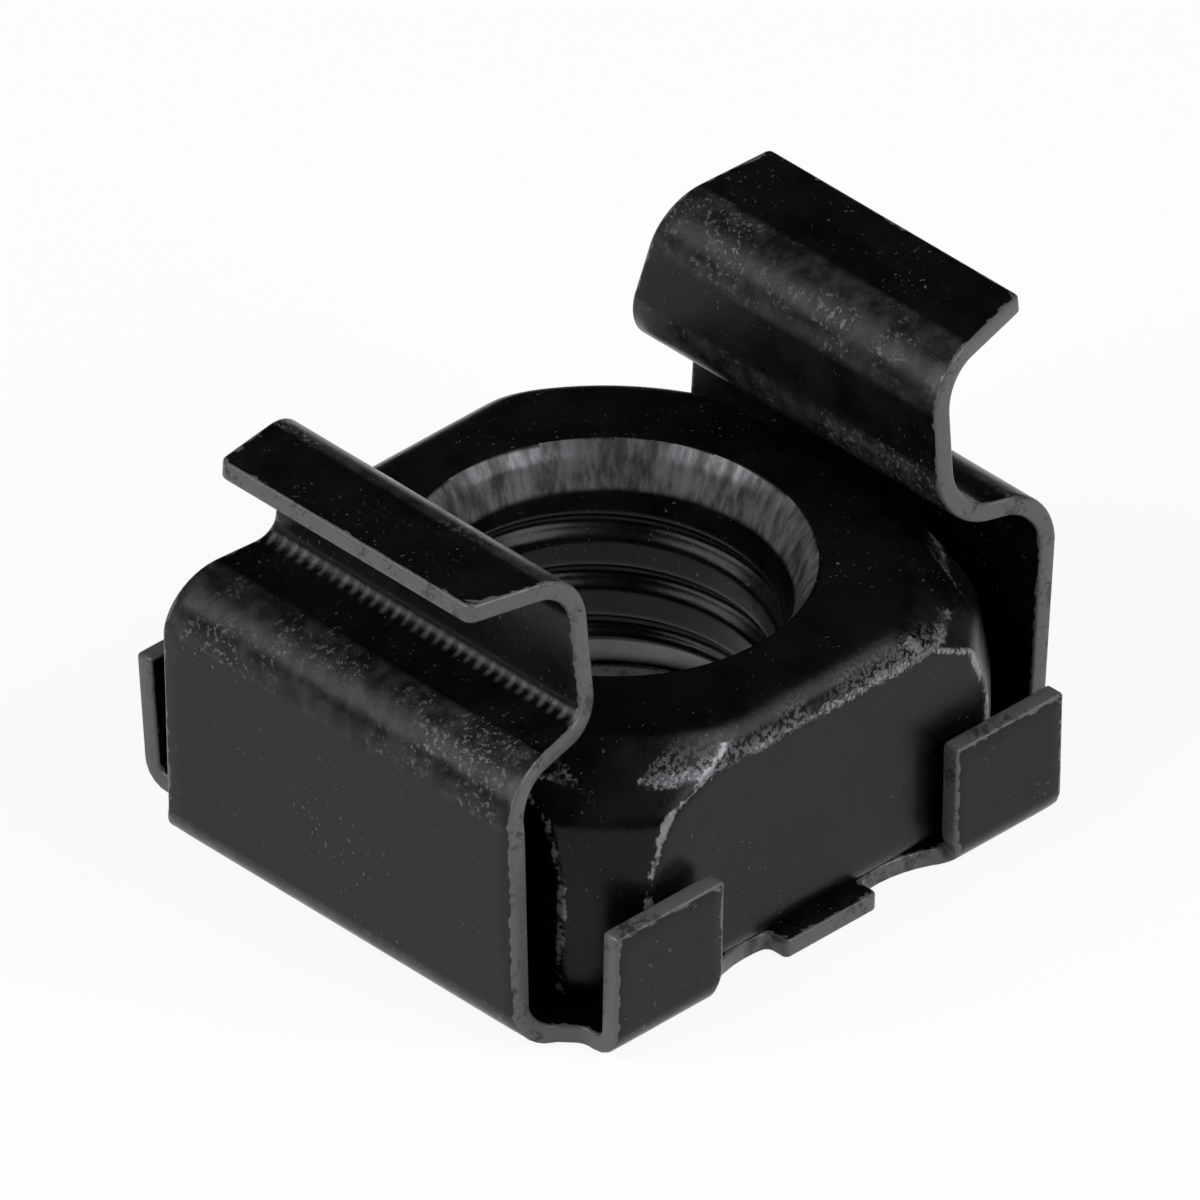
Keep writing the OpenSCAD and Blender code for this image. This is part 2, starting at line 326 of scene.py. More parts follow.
def leg_starts(legs):
    """Distance along the strip where each leg's straight and bend begin."""
    starts = []
    travelled = 0.0
    for straight, turn, radius in legs:
        starts.append((travelled, travelled + straight))
        travelled += straight + abs(math.radians(turn)) * radius
    return starts


def along_strip(legs, travel):
    """Point, heading and bend of the strip's middle at each distance."""
    x = np.zeros_like(travel)
    z = np.full_like(travel, HALF)
    heading = np.zeros_like(travel)
    bend = np.zeros_like(travel)
    remaining = travel.copy()
    for straight, turn, radius in legs:
        step = np.clip(remaining, 0, straight)
        x += step * np.cos(heading)
        z += step * np.sin(heading)
        remaining = remaining - straight
        arc = abs(math.radians(turn)) * radius
        if arc == 0:
            x += np.maximum(remaining, 0) * np.cos(heading)
            z += np.maximum(remaining, 0) * np.sin(heading)
            break
        part = np.clip(remaining / arc, 0, 1)
        sign = math.copysign(1, turn)
        turned = heading + part * math.radians(turn)
        x += sign * radius * (np.sin(turned) - np.sin(heading))
        z += sign * radius * (np.cos(heading) - np.cos(turned))
        soft = np.clip(np.minimum(remaining, arc - remaining) / 0.08 + 0.5, 0, 1)
        bend = np.where((remaining > -0.04) & (remaining < arc + 0.04), sign * soft, bend)
        heading = turned
        remaining = remaining - arc
    return x, z, heading, bend


def fold(u, v, h):
    """Carry points of the flat blank, with height h off its middle, to the folded cage."""
    u, v, h = (np.asarray(a, float) for a in (u, v, h))
    lever = along_strip(LEVER, np.abs(u))
    hook = along_strip(HOOK, np.abs(u))
    x, z, heading, bend = (np.where(u > 0, a, b) for a, b in zip(lever, hook))
    side = np.sign(u)
    ear_x = side * (x - h * np.sin(heading))
    ear_z = z + h * np.cos(heading)
    far = v > 0
    fold_y = np.where(far, FAR_FOLD_Y, NEAR_FOLD_Y)
    full = np.radians(np.where(far, 90 - FAR_TAB_LEAN, 90))
    over = np.abs(v) - fold_y
    arc = TAB_FOLD_MID * full
    in_tab = (over > 0) & (np.abs(u) > TAB_IN_X - 0.01) & (np.abs(u) < FLOOR_X)
    angle = np.where(in_tab, np.clip(over / TAB_FOLD_MID, 0, full), 0)
    up = np.where(in_tab, np.maximum(over - arc, 0), 0)
    tab_y = fold_y + (TAB_FOLD_MID - h) * np.sin(angle) + up * np.cos(full)
    tab_z = HALF + TAB_FOLD_MID * (1 - np.cos(angle)) + up * np.sin(full) + h * np.cos(angle)
    y = np.where(in_tab, np.sign(v) * tab_y, v)
    z_all = np.where(in_tab, tab_z, ear_z)
    tab_bend = np.where(in_tab & (over < arc), 1.0, 0.0)
    x_all = np.where(in_tab, u, ear_x)
    bend = np.where(in_tab, tab_bend, bend)
    return np.stack([x_all, y, z_all], axis=-1), bend


def half_widths(legs):
    """Where the ear's edge changes: distance along the strip and half width."""
    starts = leg_starts(legs)
    return [
        (starts[1][1], WALL_WIDTH / 2),
        (starts[3][0], NECK_WIDTH / 2),
        (starts[3][1], BEND_WIDTH / 2),
        (starts[4][1], TIP_WIDTH / 2)]


def tab_blank_top(side):
    """How far the blank reaches in Y to make a tab of full height."""
    fold_y, lean = (FAR_FOLD_Y, FAR_TAB_LEAN) if side > 0 else (NEAR_FOLD_Y, 0)
    turn = math.radians(90 - lean)
    upright = (TAB_HEIGHT - HALF - rise(0, 90 - lean, TAB_FOLD_MID)) / math.sin(turn)
    return fold_y + TAB_FOLD_MID * turn + upright


def quarter_corners(legs, side, tip_r):
    """Corners of a quarter of the blank, from the tongue to the ear's tip."""
    fold_y = FAR_FOLD_Y if side > 0 else NEAR_FOLD_Y
    top = tab_blank_top(side)
    notch_y = fold_y - NOTCH_DEPTH
    notch_x = TONGUE_WIDTH / 2 + NOTCH_OFFSET
    corners = [
        (0, notch_y + TONGUE_LENGTH, 0),
        (TONGUE_WIDTH / 2, notch_y + TONGUE_LENGTH, 0.12)]
    for x in np.linspace(TONGUE_WIDTH / 2, TAB_IN_X + 0.15, 8):
        rise_y = NOTCH_R - math.sqrt(NOTCH_R ** 2 - (x - notch_x) ** 2)
        corners.append((x, notch_y + rise_y, 0.15))
    flare = leg_starts(legs)[1][0]
    corners += [
        (TAB_IN_X, fold_y + 0.6, 0.3),
        (TAB_IN_X, top, 0.08),
        (TAB_OUT_X, top, 0.08),
        (TAB_OUT_X, fold_y - NOTCH_DEPTH - 0.12, 0.3),
        (TAB_OUT_X + 0.3, FOOT_WIDTH / 2 - 0.01, 0.15),
        (flare, WALL_WIDTH / 2, 0.4)]
    widths = half_widths(legs)
    corners += [(s, w, 0.4) for s, w in widths[:-1]]
    corners.append((widths[-1][0], widths[-1][1], tip_r))
    corners.append((widths[-1][0], 0, 0))
    return corners


def rounded(corners):
    """Replace each corner of a closed outline by an arc of its own radius."""
    count = len(corners)
    points = []
    for i in range(count):
        before = np.array(corners[i - 1][:2])
        here = np.array(corners[i][:2])
        after = np.array(corners[(i + 1) % count][:2])
        radius = corners[i][2]
        to_before = (before - here) / np.linalg.norm(before - here)
        to_after = (after - here) / np.linalg.norm(after - here)
        opening = math.acos(np.clip(to_before @ to_after, -1, 1))
        if radius == 0 or opening > math.radians(179):
            points.append(here)
            continue
        setback = radius / math.tan(opening / 2)
        room = 0.48 * min(np.linalg.norm(before - here), np.linalg.norm(after - here))
        setback = min(setback, room)
        radius = setback * math.tan(opening / 2)
        middle = to_before + to_after
        middle = middle / np.linalg.norm(middle)
        centre = here + middle * radius / math.sin(opening / 2)
        start = here + to_before * setback - centre
        sweep = math.pi - opening
        if to_before[0] * to_after[1] - to_before[1] * to_after[0] > 0:
            sweep = -sweep
        steps = max(2, math.ceil(abs(sweep) / math.radians(12)))
        for k in range(steps + 1):
            turn = sweep * k / steps
            spin = np.array([[math.cos(turn), -math.sin(turn)], [math.sin(turn), math.cos(turn)]])
            points.append(centre + spin @ start)
    return points


def divided(points, spacing):
    """Add points along a closed outline so that no step is longer than spacing."""
    result = []
    for i, here in enumerate(points):
        after = points[(i + 1) % len(points)]
        steps = max(1, math.ceil(np.linalg.norm(after - here) / spacing))
        result += [here + (after - here) * k / steps for k in range(steps)]
    return np.array(result)


def blank_outline():
    """The whole outline of the flat blank, anticlockwise."""
    corners = [(u, -v, r) for u, v, r in quarter_corners(LEVER, -1, 0.12)]
    corners += [(u, v, r) for u, v, r in reversed(quarter_corners(LEVER, 1, 0.12)[:-1])]
    corners += [(-u, v, r) for u, v, r in quarter_corners(HOOK, 1, 0.2)[1:]]
    corners += [(-u, -v, r) for u, v, r in reversed(quarter_corners(HOOK, -1, 0.2)[1:-1])]
    return divided(rounded(corners), MESH_STEP)


def inward(outline):
    """Unit normals that point into the sheet along an anticlockwise outline."""
    ahead = np.roll(outline, -1, axis=0) - outline
    ahead /= np.linalg.norm(ahead, axis=1)[:, None]
    normal = np.stack([-ahead[:, 1], ahead[:, 0]], axis=1)
    mean = normal + np.roll(normal, 1, axis=0)
    mean /= np.linalg.norm(mean, axis=1)[:, None]
    stretch = np.maximum((mean * normal).sum(axis=1), 0.5)
    return mean / stretch[:, None]


def distance_to(outline, points):
    """Shortest distance from each point to a closed outline."""
    nearest = np.full(len(points), 1e9)
    ends = np.roll(outline, -1, axis=0)
    for a, b in zip(outline, ends):
        along = b - a
        share = np.clip(((points - a) @ along) / (along @ along), 0, 1)
        nearest = np.minimum(nearest, np.linalg.norm(points - a - share[:, None] * along, axis=1))
    return nearest


def inner_rows(legs):
    """Distances along an ear where rows of points are laid, close together in the bends."""
    rows = []
    for (straight, turn, radius), (start, bend_start) in zip(legs, leg_starts(legs)):
        flat = max(1, math.ceil(straight / 0.35))
        rows += [start + straight * k / flat for k in range(flat)]
        arc = abs(math.radians(turn)) * radius
        steps = math.ceil(abs(turn) / 7)
        rows += [bend_start + arc * k / steps for k in range(steps)]
        if steps:
            rows += [bend_start - 0.05, bend_start + arc + 0.05]
    return sorted(rows)


def inner_points():
    """Points inside the blank, in rows that follow the folds."""
    points = []
    for side, legs in ((1, LEVER), (-1, HOOK)):
        for s in inner_rows(legs):
            if s > FLOOR_X - 0.06:
                points += [(side * s, v) for v in np.linspace(-4.1, 4.1, 21)]
    for side, fold_y in ((1, FAR_FOLD_Y), (-1, NEAR_FOLD_Y)):
        turn = math.radians(90 - (FAR_TAB_LEAN if side > 0 else 0))
        rows = fold_y + TAB_FOLD_MID * np.linspace(0, turn, 9)
        upright = np.linspace(rows[-1] + 0.05, tab_blank_top(side), 6)
        for v in np.concatenate([[fold_y - 0.05], rows, upright]):
            for u in np.linspace(TAB_IN_X, TAB_OUT_X, 10):
                points += [(end * u, side * v) for end in (1, -1)]
    for u in np.arange(-FLOOR_X, FLOOR_X, 0.5):
        points += [(u, v) for v in np.arange(-NEAR_FOLD_Y, NEAR_FOLD_Y, 0.5)]
    return np.array(points)


def sheet_face(outline, hole, inset):
    """Triangles of one face of the blank, inside its inset outlines."""
    edge = outline + inward(outline) * inset
    rim = hole + inward(hole) * inset
    inner = inner_points()
    keep = inside_outline(edge, inner) & (distance_to(outline, inner) > inset + 0.05)
    keep &= np.hypot(inner[:, 0], inner[:, 1]) > HOLE_R + inset + 0.05
    inner = inner[keep]
    points = [Vector(p) for p in np.concatenate([edge, rim, inner])]
    outer = len(edge)
    loops = [(i, (i + 1) % outer) for i in range(outer)]
    loops += [(outer + i, outer + (i + 1) % len(rim)) for i in range(len(rim))]
    found = delaunay_2d_cdt(points, loops, [], 0, 1e-6)
    flat = np.array([list(p) for p in found[0]])
    triangles = np.array(found[2])
    middle = flat[triangles].mean(axis=1)
    kept = inside_outline(edge, middle) & (np.hypot(middle[:, 0], middle[:, 1]) > HOLE_R)
    return flat, triangles[kept]


def inside_outline(outline, points):
    """Which points lie inside a closed outline, by counting crossings."""
    inside = np.zeros(len(points), bool)
    for a, b in zip(outline, np.roll(outline, -1, axis=0)):
        if a[1] == b[1]:
            continue
        crosses = (a[1] > points[:, 1]) != (b[1] > points[:, 1])
        where = a[0] + (points[:, 1] - a[1]) * (b[0] - a[0]) / (b[1] - a[1])
        inside ^= crosses & (points[:, 0] < where)
    return inside


def edge_profile():
    """The rounded section of a cut edge: how far in and how far off the middle."""
    turns = np.linspace(0, math.pi / 2, 5)
    upper = [
        (EDGE_ROUND * (1 - math.sin(a)), HALF - EDGE_ROUND * (1 - math.cos(a))) for a in turns]
    return upper + [(inset, -height) for inset, height in reversed(upper)]


def make_cage():
    """The cage, folded from its flat blank, with its edges and bends stored per point."""
    outline = blank_outline()
    turn = np.linspace(0, -2 * math.pi, 120, endpoint=False)
    hole = HOLE_R * np.stack([np.cos(turn), np.sin(turn)], axis=1)
    profile = edge_profile()
    flat, triangles = sheet_face(outline, hole, profile[0][0])
    blank = []
    faces = []
    depth = distance_to(outline, flat)
    depth = np.minimum(depth, np.abs(np.hypot(flat[:, 0], flat[:, 1]) - HOLE_R))
    for height in (HALF, -HALF):
        first = len(blank)
        blank += [(u, v, height, d) for (u, v), d in zip(flat, depth)]
        order = (0, 1, 2) if height > 0 else (2, 1, 0)
        faces += [tuple(int(first + t[k]) for k in order) for t in triangles]
    for loop in (outline, hole):
        normals = inward(loop)
        first = len(blank)
        for inset, height in profile:
            blank += [(u, v, height, 0.0) for u, v in loop + normals * inset]
        count = len(loop)
        for i in range(len(profile) - 1):
            for j in range(count):
                k = (j + 1) % count
                faces.append((
                    first + i * count + j, first + (i + 1) * count + j,
                    first + (i + 1) * count + k, first + i * count + k))
    blank = np.array(blank)
    points, bend = fold(blank[:, 0], blank[:, 1], blank[:, 2])
    outer_side = np.where(blank[:, 2] > 0, -bend, bend)
    piece = mesh_object("folded_spring_cage", points, faces)
    point_values(piece, "edge_mm", blank[:, 3])
    point_values(piece, "ridge", outer_side)
    point_values(piece, "blank_u", blank[:, 0])
    point_values(piece, "blank_v", blank[:, 1])
    weld(piece, 1e-4 * MM)
    return piece


# -------------------------------------------------------------- materials --
def add_node(tree, kind, options=None, **inputs):
    """Add a node, set its options, and set or link its named inputs."""
    node = tree.nodes.new(kind)
    for name, value in (options or {}).items():
        setattr(node, name, value)
    for name, value in inputs.items():
        connect(tree, value, node.inputs[name.replace("_", " ")])
    return node


def connect(tree, value, socket):
    """Link a socket, or set its value when a plain number is given."""
    if isinstance(value, bpy.types.NodeSocket):
        tree.links.new(value, socket)
    else:
        socket.default_value = value


def calculate(tree, operation, *values):
    """Output of a Math node."""
    node = tree.nodes.new("ShaderNodeMath")
    node.operation = operation
    for value, socket in zip(values, node.inputs):
        connect(tree, value, socket)
    return node.outputs[0]


def fade(tree, value, start, end, low=0.0, high=1.0):
    """Value eased from low to high as it goes from start to end."""
    node = add_node(
        tree, "ShaderNodeMapRange", {"interpolation_type": "SMOOTHSTEP"},
        Value=value, From_Min=start, From_Max=end, To_Min=low, To_Max=high)
    return node.outputs["Result"]


def noise(tree, place, scale, detail=3.0, roughness=0.55):
    """Output of a noise texture, with its scale in waves per millimetre."""
    node = add_node(
        tree, "ShaderNodeTexNoise", Vector=place, Scale=scale, Detail=detail, Roughness=roughness)
    return node.outputs["Fac"]


def attribute(tree, name):
    """A number stored on the mesh's points."""
    return add_node(tree, "ShaderNodeAttribute", {"attribute_name": name}).outputs["Fac"]


def most(tree, *masks):
    """Largest of several masks."""
    top = masks[0]
    for mask in masks[1:]:
        top = calculate(tree, "MAXIMUM", top, mask)
    return top


def start_group(name, numbers, output):
    """A node group with a place in millimetres and named numbers going in."""
    group = bpy.data.node_groups.new(name, "ShaderNodeTree")
    group.interface.new_socket("Place", in_out="INPUT", socket_type="NodeSocketVector")
    for label in numbers:
        group.interface.new_socket(label, in_out="INPUT", socket_type="NodeSocketFloat")
    group.interface.new_socket(output, in_out="OUTPUT", socket_type="NodeSocketFloat")
    into = group.nodes.new("NodeGroupInput").outputs
    out = group.nodes.new("NodeGroupOutput").inputs
    return group, into, out


def edge_wear_group():
    """Bright ragged wear that fades out with distance from an edge."""
    group, into, out = start_group("edge wear", ["Distance", "Width", "Raggedness"], "Mask")
    patches = noise(group, into["Place"], 1.6, 2.0)
    chips = noise(group, into["Place"], 9.0, 4.0, 0.65)
    uneven = calculate(group, "ADD", patches, chips)
    uneven = fade(group, uneven, 0.7, 1.3, -1.0, 1.0)
    swing = calculate(group, "MULTIPLY_ADD", uneven, into["Raggedness"], 1.0)
    reach = calculate(group, "MULTIPLY", into["Width"], swing)
    left = calculate(group, "SUBTRACT", reach, into["Distance"])
    share = calculate(group, "DIVIDE", left, into["Width"])
    connect(group, fade(group, share, 0.0, 0.8), out["Mask"])
    return group


def scuff_group():
    """Scattered small bright specks, thicker in some patches."""
    group, into, out = start_group("scuff specks", ["Fineness", "Amount"], "Mask")
    grains = noise(group, into["Place"], into["Fineness"], 2.0, 0.7)
    patches = fade(group, noise(group, into["Place"], 0.9, 2.0), 0.4, 0.65)
    limit = calculate(group, "SUBTRACT", 0.8, calculate(group, "MULTIPLY", into["Amount"], 0.25))
    over = calculate(group, "SUBTRACT", grains, limit)
    specks = fade(group, over, 0.0, 0.05)
    connect(group, calculate(group, "MULTIPLY", specks, patches), out["Mask"])
    return group


def mottle_group():
    """Cloudy unevenness of the blackened finish."""
    group, into, out = start_group("oxide mottle", ["Fineness"], "Value")
    clouds = noise(group, into["Place"], into["Fineness"], 5.0, 0.6)
    connect(group, fade(group, clouds, 0.3, 0.7), out["Value"])
    return group


EDGE_WEAR = edge_wear_group()
SCUFFS = scuff_group()
MOTTLE = mottle_group()


def use_group(tree, group, **inputs):
    """Place a node group in a material and give its output."""
    node = add_node(tree, "ShaderNodeGroup", {"node_tree": group}, **inputs)
    return node.outputs[0]


def start_material(name):
    """An empty material with its place in millimetres."""
    material = bpy.data.materials.new(name)
    material.use_nodes = True
    tree = material.node_tree
    where = add_node(tree, "ShaderNodeTexCoord").outputs["Object"]
    scaled = add_node(
        tree, "ShaderNodeVectorMath", {"operation": "SCALE"}, Vector=where, Scale=TO_MM)
    return material, tree, scaled.outputs[0]


def colour_socket(sockets, name):
    """The colour socket of a Mix node, which holds one of each kind."""
    return [s for s in sockets if s.identifier == name + "_Color"][0]


def mix_colours(tree, share, under, over):
    """One colour laid over another by a mask."""
    node = add_node(tree, "ShaderNodeMix", {"data_type": "RGBA"})
    connect(tree, share, node.inputs["Factor"])
    for name, colour in (("A", under), ("B", over)):
        value = colour if isinstance(colour, bpy.types.NodeSocket) else (*colour, 1)
        connect(tree, value, colour_socket(node.inputs, name))
    return colour_socket(node.outputs, "Result")


BLACK_OXIDE = (0.0015, 0.0015, 0.002)
DULL_OXIDE = (0.004, 0.004, 0.0045)
# bare steel for real wear; the cage also uses it to paint highlights on its bends and along the
# hook's fillet
BARE_STEEL = (0.46, 0.455, 0.49)
OXIDE_GLOSS = 0.19                           # specular level of the oiled oxide
OXIDE_ROUGHNESS = 0.22                       # where the oxide is smoothest
CLOUD_ROUGHNESS = 0.12                       # added where the oxide is dull
WORN_ROUGHNESS = 0.06                        # added where it is worn through
BARE_METALLIC = 0.85                         # bare steel under a thin film of oil
GRAIN_HEIGHT = 0.002                         # millimetres, as all widths below
SPECK_BRIGHTNESS = 0.25                      # bare metal share of the specks
RIM_WEAR_WIDTH = 0.04                        # wear beside the cut edges of the sheet
RIM_WEAR = 0.22
RUB_SPECKS = 0.2                             # wear on the outside of the bends
HIGHLIGHT_BEADS_PER_MM = 26.0 / (2 * math.pi)          # beads of the painted highlight along the hook's fillet
CREASE_WEAR_WIDTH = 0.05                     # wear round the corners of the nut's flats
CREASE_WEAR = 0.45
ROLL_LINE = 0.1                              # height of the worn line on the rolled edge
ROLL_WEAR_WIDTH = 0.075
ROLL_SPECKS = 0.25                           # scuffs just above that line
STRETCH = 0.12                               # how far streaks are drawn out
CONE_START = 0.7                             # depth at which the countersink turns bright
CREST_BRIGHT = 0.02                          # height of thread rubbed bright at the crests
CREST_FADE = 0.12
FILLET_MIDDLE = 0.3                          # from the start of the hook's fillet
FILLET_REACH = 0.28                          # half width of the painted highlight in it


def finish_metal(tree, place, bare_steel_share, cloud):
    """Blackened steel with bare metal where the mask is bright; on the cage that mask also holds
    painted highlights.
    """
    shader = tree.nodes["Principled BSDF"]
    oxide = mix_colours(tree, cloud, BLACK_OXIDE, DULL_OXIDE)
    colour = mix_colours(tree, bare_steel_share, oxide, BARE_STEEL)
    connect(tree, colour, shader.inputs["Base Color"])
    connect(tree, calculate(tree, "MULTIPLY", bare_steel_share, BARE_METALLIC), shader.inputs["Metallic"])
    rough = calculate(tree, "MULTIPLY_ADD", cloud, CLOUD_ROUGHNESS, OXIDE_ROUGHNESS)
    rough = calculate(tree, "MULTIPLY_ADD", bare_steel_share, WORN_ROUGHNESS, rough)
    connect(tree, rough, shader.inputs["Roughness"])
    shader.inputs["Specular IOR Level"].default_value = OXIDE_GLOSS
    grain = noise(tree, place, 22.0, 3.0)
    waves = noise(tree, place, 2.2, 3.0)
    height = calculate(tree, "MULTIPLY_ADD", waves, 2.0, grain)
    bump = add_node(
        tree, "ShaderNodeBump", Height=height, Strength=1.0, Distance=GRAIN_HEIGHT * MM)
    connect(tree, bump.outputs["Normal"], shader.inputs["Normal"])


def cage_steel():
    """Sheet worn bright on its cut edges, with scuffed bends, a painted sheen on their outside and
    a painted highlight along the hook's fillet.
    """
    material, tree, place = start_material("blackened_spring_steel")
    edge = attribute(tree, "edge_mm")
    ridge = attribute(tree, "ridge")
    u = attribute(tree, "blank_u")
    v = attribute(tree, "blank_v")
    worn_edge = use_group(
        tree, EDGE_WEAR, Place=place, Distance=edge, Width=RIM_WEAR_WIDTH, Raggedness=0.7)
    worn_edge = calculate(tree, "MULTIPLY", worn_edge, RIM_WEAR)
    bend_outside = fade(tree, ridge, 0.3, 1.0)
    bend_wear_and_sheen = use_group(tree, SCUFFS, Place=place, Fineness=10.0, Amount=0.95)
    bend_wear_and_sheen = calculate(tree, "MULTIPLY", bend_wear_and_sheen, bend_outside)
    # partly polish and partly painted sheen: bare steel laid smoothly over the outside of the bends
    # to brighten their highlight bands, beside the real scuff specks
    polish_and_sheen = fade(tree, noise(tree, place, 3.0, 4.0), 0.35, 0.75, 0.01, 0.06)
    polish_and_sheen = calculate(tree, "MULTIPLY", polish_and_sheen, bend_outside)
    bend_wear_and_sheen = most(tree, calculate(tree, "MULTIPLY", bend_wear_and_sheen, RUB_SPECKS), polish_and_sheen)
    # painted highlight: a beaded bright line of bare steel along the hook's fillet
    fillet = leg_starts(HOOK)[2][1] + FILLET_MIDDLE
    from_fillet = calculate(tree, "ABSOLUTE", calculate(tree, "ADD", u, fillet))
    line = fade(tree, from_fillet, FILLET_REACH, 0.05)
    line = calculate(tree, "MULTIPLY", line, fade(tree, ridge, 0.0, -0.8))
    fillet_highlight = calculate(tree, "SINE", calculate(tree, "MULTIPLY", v, 2 * math.pi * HIGHLIGHT_BEADS_PER_MM))
    fillet_highlight = calculate(tree, "MULTIPLY_ADD", fillet_highlight, 0.3, noise(tree, place, 5.0, 3.0))
    fillet_highlight = fade(tree, fillet_highlight, 0.35, 0.9, 0.0, 0.16)
    fillet_highlight = calculate(tree, "MULTIPLY", fillet_highlight, line)
    specks = use_group(tree, SCUFFS, Place=place, Fineness=11.0, Amount=0.55)
    specks = calculate(tree, "MULTIPLY", specks, SPECK_BRIGHTNESS)
    # real wear together with the painted sheen and painted highlight, all laid on as bare steel
    bare_steel_share = most(tree, worn_edge, bend_wear_and_sheen, fillet_highlight, specks)
    cloud = use_group(tree, MOTTLE, Place=place, Fineness=1.4)
    finish_metal(tree, place, bare_steel_share, cloud)
    return material


def nut_steel():
    """Machined nut with bare countersink and crests and sparkling rolled edges."""
    material, tree, place = start_material("blackened_nut_steel")
    crease = attribute(tree, "crease_mm")
    roll = attribute(tree, "roll_mm")
    bore = attribute(tree, "bore")
    axes = add_node(tree, "ShaderNodeSeparateXYZ", Vector=place)
    x, y, z = (axes.outputs[name] for name in "XYZ")
    radius = calculate(tree, "SQRT", calculate(
        tree, "ADD", calculate(tree, "MULTIPLY", x, x), calculate(tree, "MULTIPLY", y, y)))
    worn_crease = use_group(
        tree, EDGE_WEAR, Place=place, Distance=crease, Width=CREASE_WEAR_WIDTH, Raggedness=0.7)
    worn_crease = calculate(tree, "MULTIPLY", worn_crease, CREASE_WEAR)
    off_line = calculate(tree, "ABSOLUTE", calculate(tree, "SUBTRACT", roll, ROLL_LINE))
    sparkle = use_group(
        tree, EDGE_WEAR, Place=place, Distance=off_line, Width=ROLL_WEAR_WIDTH, Raggedness=1.2)
    grains = fade(tree, noise(tree, place, 16.0, 3.0, 0.7), 0.42, 0.62)
    grains = calculate(tree, "MULTIPLY_ADD", grains, 0.4, 0.1)
    sparkle = calculate(tree, "MULTIPLY", sparkle, grains)
    above = fade(tree, roll, 0.65, 0.1)
    above = calculate(tree, "MULTIPLY", above, fade(tree, roll, 0.0, 0.1))
    scuffed = use_group(tree, SCUFFS, Place=place, Fineness=12.0, Amount=1.3)
    scuffed = calculate(tree, "MULTIPLY", scuffed, calculate(tree, "MULTIPLY", above, ROLL_SPECKS))
    stretched = add_node(
        tree, "ShaderNodeCombineXYZ",
        X=calculate(tree, "DIVIDE", x, radius), Y=calculate(tree, "DIVIDE", y, radius),
        Z=calculate(tree, "MULTIPLY", z, STRETCH)).outputs[0]
    scratches = fade(tree, noise(tree, stretched, 14.0, 5.0, 0.6), 0.35, 0.7)
    rings = add_node(
        tree, "ShaderNodeCombineXYZ", X=calculate(tree, "MULTIPLY", x, STRETCH),
        Y=calculate(tree, "MULTIPLY", y, STRETCH), Z=calculate(tree, "MULTIPLY", z, 2.0)).outputs[0]
    turned = fade(tree, noise(tree, rings, 5.0, 5.0, 0.7), 0.35, 0.7)
    up_cone = fade(tree, z, nut_top - MOUTH_DEPTH, nut_top - CONE_START)
    on_cone = calculate(tree, "MULTIPLY", bore, up_cone)
    scratches = calculate(tree, "MULTIPLY_ADD", scratches, 0.3, 0.08)
    cone = calculate(tree, "MULTIPLY", on_cone, scratches)
    near_crest = fade(tree, radius, MINOR_R + CREST_FADE, MINOR_R + CREST_BRIGHT)
    on_crest = calculate(tree, "MULTIPLY", bore, near_crest)
    turned = calculate(tree, "MULTIPLY_ADD", turned, 0.35, 0.05)
    crests = calculate(tree, "MULTIPLY", on_crest, turned)
    specks = use_group(tree, SCUFFS, Place=place, Fineness=11.0, Amount=0.5)
    specks = calculate(tree, "MULTIPLY", specks, SPECK_BRIGHTNESS)
    bare_steel_share = most(tree, worn_crease, sparkle, scuffed, cone, crests, specks)
    cloud = use_group(tree, MOTTLE, Place=place, Fineness=1.1)
    finish_metal(tree, place, bare_steel_share, cloud)
    return material


# ------------------------------------------------------------------ build --
nut = make_nut()
cage = make_cage()
nut.data.materials.append(nut_steel())
cage.data.materials.append(cage_steel())
for piece, node, slot in ((nut, "square_nut", "nut_steel"), (cage, "spring_cage", "cage_steel")):
    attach(piece, "root")
    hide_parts(node)


# ----------------------------------------------------------------- camera --
CAMERA_AZIMUTH = -45.16
CAMERA_ELEVATION = 35.0
CAMERA_ROLL = 1.07
CAMERA_LENS = 1500.0                         # long enough to look nearly parallel
FRAME_MARGIN = 1.3                           # picture's side over the object's


def camera_axes():
    """Right, up and back directions of the camera."""
    a, e, r = (math.radians(d) for d in (CAMERA_AZIMUTH, CAMERA_ELEVATION, CAMERA_ROLL))
    back = Vector((math.sin(a) * math.cos(e), -math.cos(a) * math.cos(e), math.sin(e)))
    level = Vector((math.cos(a), math.sin(a), 0))
    upright = back.cross(level)
    right = math.cos(r) * level + math.sin(r) * upright
    up = back.cross(right)
    return right, up, back


def make_camera():
    """A long lens that frames the whole part."""
    right, up, back = camera_axes()
    corners = np.concatenate([mesh_points(nut), mesh_points(cage)]) * MM
    across = corners @ np.array(right)
    height = corners @ np.array(up)
    side = max(np.ptp(across), np.ptp(height)) * FRAME_MARGIN
    data = bpy.data.cameras.new("camera")
    data.lens = CAMERA_LENS
    distance = side * data.lens / data.sensor_width
    target = right * ((across.min() + across.max()) / 2) + up * ((height.min() + height.max()) / 2)
    camera = bpy.data.objects.new("camera", data)
    bpy.context.scene.collection.objects.link(camera)
    camera.matrix_world = Matrix((
        (right.x, up.x, back.x, 0), (right.y, up.y, back.y, 0),
        (right.z, up.z, back.z, 0), (0, 0, 0, 1)))
    camera.location = target + back * distance
    data.clip_start = distance / 100
    data.clip_end = distance * 20
    bpy.context.scene.camera = camera
    return camera


# ------------------------------------------------------------------ stage --
FLOOR_REACH = 600.0                          # half the table's side, in millimetres
FLOOR_GAP = 0.02                             # keeps the table just under the part
FLOOR_GLOW = 0.9                             # share of plain white seen and reflected


